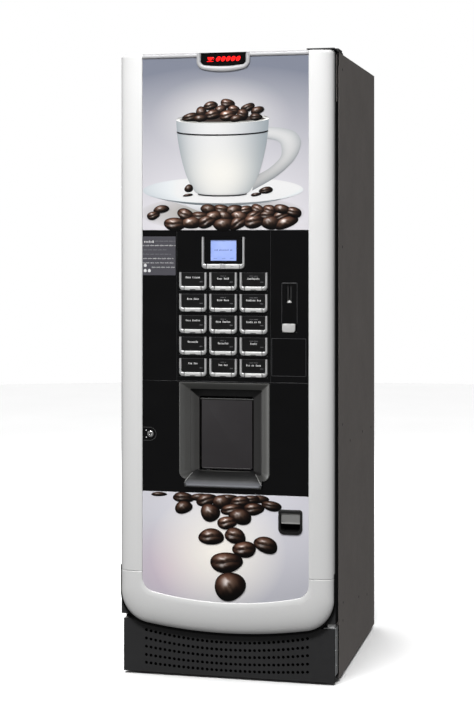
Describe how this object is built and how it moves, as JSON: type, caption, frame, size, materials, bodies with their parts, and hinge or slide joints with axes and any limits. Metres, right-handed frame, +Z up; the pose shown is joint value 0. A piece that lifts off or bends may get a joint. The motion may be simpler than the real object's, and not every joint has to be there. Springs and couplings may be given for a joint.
{
  "type": "hot drinks vending machine",
  "caption": "Tall free-standing hot coffee vending machine: steel cabinet, hinged door with silver moulding, backlit pictures, keypad, display, coin slot and cup hatch.",
  "frame": {"origin": "on the floor, under the middle of the machine's overall box", "axes": "+Z up, the door faces -Y, +X to the right of a person facing the door"},
  "size_m": [0.6, 0.734, 1.7045],
  "materials": {
    "side_steel": "satin warm grey powder coat",
    "galvanised_steel": "bright galvanised sheet",
    "dark_steel": "fine textured dark grey powder coat",
    "silver_moulding": "satin silver paint",
    "picture_panel": "backlit printed acrylic",
    "black_fascia": "gloss black",
    "silver_keys": "satin silver",
    "display_glass": "lit blue liquid crystal display",
    "hatch_black": "satin black moulding",
    "smoked_flap": "smoked polycarbonate",
    "flap_grey": "satin grey",
    "bright_steel": "bright stainless steel",
    "coin_black": "matt black",
    "hopper_amber": "clear amber",
    "works_grey": "moulded grey",
    "boiler_metal": "satin metal",
    "canister_white": "translucent white",
    "cup_paper": "paper cups"
  },
  "bodies": {
    "cabinet": {"left_side_panel": "side_steel", "right_side_panel": "side_steel", "back_panel": "galvanised_steel", "top_panel": "side_steel", "base_frame": "galvanised_steel", "kick_plate": "dark_steel", "top_hinge_plate": "dark_steel", "bottom_hinge_bracket": "galvanised_steel", "equipment_panel": "galvanised_steel", "bean_hopper": "hopper_amber", "coffee_grinder": "coin_black", "brew_unit": "works_grey", "boiler": "boiler_metal", "powder_canister_1": "canister_white", "powder_canister_2": "canister_white", "mixer_unit": "works_grey", "waste_bucket": "coin_black", "electronics_box": "galvanised_steel"},
    "door": {"door_pan": "dark_steel", "left_moulding": "silver_moulding", "right_moulding": "silver_moulding", "bottom_moulding": "silver_moulding", "top_rail": "silver_moulding", "upper_light_panel": "picture_panel", "lower_light_panel": "picture_panel", "left_fascia": "black_fascia", "keypad_fascia": "black_fascia", "right_fascia": "black_fascia", "lower_fascia": "black_fascia", "keypad_frame": "silver_keys", "display_screen": "display_glass", "delivery_bezel": "hatch_black", "cup_compartment": "hatch_black", "drip_grid": "bright_steel", "coin_entry": "black_fascia", "coin_return_cup": "hatch_black", "coin_mechanism": "coin_black"},
    "selection_button_01": {"selection_button_01": "silver_keys"},
    "selection_button_02": {"selection_button_02": "silver_keys"},
    "selection_button_03": {"selection_button_03": "silver_keys"},
    "selection_button_04": {"selection_button_04": "silver_keys"},
    "selection_button_05": {"selection_button_05": "silver_keys"},
    "selection_button_06": {"selection_button_06": "silver_keys"},
    "selection_button_07": {"selection_button_07": "silver_keys"},
    "selection_button_08": {"selection_button_08": "silver_keys"},
    "selection_button_09": {"selection_button_09": "silver_keys"},
    "selection_button_10": {"selection_button_10": "silver_keys"},
    "selection_button_11": {"selection_button_11": "silver_keys"},
    "selection_button_12": {"selection_button_12": "silver_keys"},
    "selection_button_13": {"selection_button_13": "silver_keys"},
    "selection_button_14": {"selection_button_14": "silver_keys"},
    "selection_button_15": {"selection_button_15": "silver_keys"},
    "display_button_left": {"display_button_left": "silver_keys"},
    "display_button_right": {"display_button_right": "silver_keys"},
    "coin_reject": {"coin_reject_button": "silver_keys"},
    "delivery_flap": {"delivery_flap": "smoked_flap"},
    "coin_return_flap": {"coin_return_flap": "flap_grey"},
    "lock": {"lock_cylinder": "bright_steel"},
    "hopper_lid": {"hopper_lid": "coin_black"},
    "cup_carousel": {"cup_carousel": "cup_paper"}
  },
  "joints": [
    {"name": "door_hinge", "type": "hinge", "parent": "cabinet", "child": "door", "pos_m": [0.285, -0.3, 0.9], "axis": [0, 0, 1], "range_deg": [0, 110]},
    {"name": "selection_button_01_press", "type": "slide", "parent": "door", "child": "selection_button_01", "axis": [0, 1, 0], "range_m": [0, 0.0025], "stiffness_N_per_m": 400},
    {"name": "selection_button_02_press", "type": "slide", "parent": "door", "child": "selection_button_02", "axis": [0, 1, 0], "range_m": [0, 0.0025], "stiffness_N_per_m": 400},
    {"name": "selection_button_03_press", "type": "slide", "parent": "door", "child": "selection_button_03", "axis": [0, 1, 0], "range_m": [0, 0.0025], "stiffness_N_per_m": 400},
    {"name": "selection_button_04_press", "type": "slide", "parent": "door", "child": "selection_button_04", "axis": [0, 1, 0], "range_m": [0, 0.0025], "stiffness_N_per_m": 400},
    {"name": "selection_button_05_press", "type": "slide", "parent": "door", "child": "selection_button_05", "axis": [0, 1, 0], "range_m": [0, 0.0025], "stiffness_N_per_m": 400},
    {"name": "selection_button_06_press", "type": "slide", "parent": "door", "child": "selection_button_06", "axis": [0, 1, 0], "range_m": [0, 0.0025], "stiffness_N_per_m": 400},
    {"name": "selection_button_07_press", "type": "slide", "parent": "door", "child": "selection_button_07", "axis": [0, 1, 0], "range_m": [0, 0.0025], "stiffness_N_per_m": 400},
    {"name": "selection_button_08_press", "type": "slide", "parent": "door", "child": "selection_button_08", "axis": [0, 1, 0], "range_m": [0, 0.0025], "stiffness_N_per_m": 400},
    {"name": "selection_button_09_press", "type": "slide", "parent": "door", "child": "selection_button_09", "axis": [0, 1, 0], "range_m": [0, 0.0025], "stiffness_N_per_m": 400},
    {"name": "selection_button_10_press", "type": "slide", "parent": "door", "child": "selection_button_10", "axis": [0, 1, 0], "range_m": [0, 0.0025], "stiffness_N_per_m": 400},
    {"name": "selection_button_11_press", "type": "slide", "parent": "door", "child": "selection_button_11", "axis": [0, 1, 0], "range_m": [0, 0.0025], "stiffness_N_per_m": 400},
    {"name": "selection_button_12_press", "type": "slide", "parent": "door", "child": "selection_button_12", "axis": [0, 1, 0], "range_m": [0, 0.0025], "stiffness_N_per_m": 400},
    {"name": "selection_button_13_press", "type": "slide", "parent": "door", "child": "selection_button_13", "axis": [0, 1, 0], "range_m": [0, 0.0025], "stiffness_N_per_m": 400},
    {"name": "selection_button_14_press", "type": "slide", "parent": "door", "child": "selection_button_14", "axis": [0, 1, 0], "range_m": [0, 0.0025], "stiffness_N_per_m": 400},
    {"name": "selection_button_15_press", "type": "slide", "parent": "door", "child": "selection_button_15", "axis": [0, 1, 0], "range_m": [0, 0.0025], "stiffness_N_per_m": 400},
    {"name": "display_button_left_press", "type": "slide", "parent": "door", "child": "display_button_left", "axis": [0, 1, 0], "range_m": [0, 0.0025], "stiffness_N_per_m": 400},
    {"name": "display_button_right_press", "type": "slide", "parent": "door", "child": "display_button_right", "axis": [0, 1, 0], "range_m": [0, 0.0025], "stiffness_N_per_m": 400},
    {"name": "coin_reject_press", "type": "slide", "parent": "door", "child": "coin_reject", "axis": [0, 1, 0], "range_m": [0, 0.004], "stiffness_N_per_m": 300},
    {"name": "delivery_flap_hinge", "type": "hinge", "parent": "door", "child": "delivery_flap", "pos_m": [0, -0.3255, 0.7575], "axis": [-1, 0, 0], "range_deg": [0, 75]},
    {"name": "coin_return_flap_hinge", "type": "hinge", "parent": "door", "child": "coin_return_flap", "pos_m": [0.18045, -0.35, 0.46], "axis": [1, 0, 0], "range_deg": [0, 55]},
    {"name": "lock_turn", "type": "hinge", "parent": "door", "child": "lock", "pos_m": [-0.2071, -0.353, 0.663], "axis": [0, 1, 0], "range_deg": [0, 90]},
    {"name": "hopper_lid_hinge", "type": "hinge", "parent": "cabinet", "child": "hopper_lid", "pos_m": [0.14, 0.104, 1.504], "axis": [-1, 0, 0], "range_deg": [0, 36]},
    {"name": "cup_carousel_spin", "type": "hinge", "parent": "cabinet", "child": "cup_carousel", "pos_m": [-0.155, -0.07, 1.3], "axis": [0, 0, 1], "continuous": true}
  ]
}
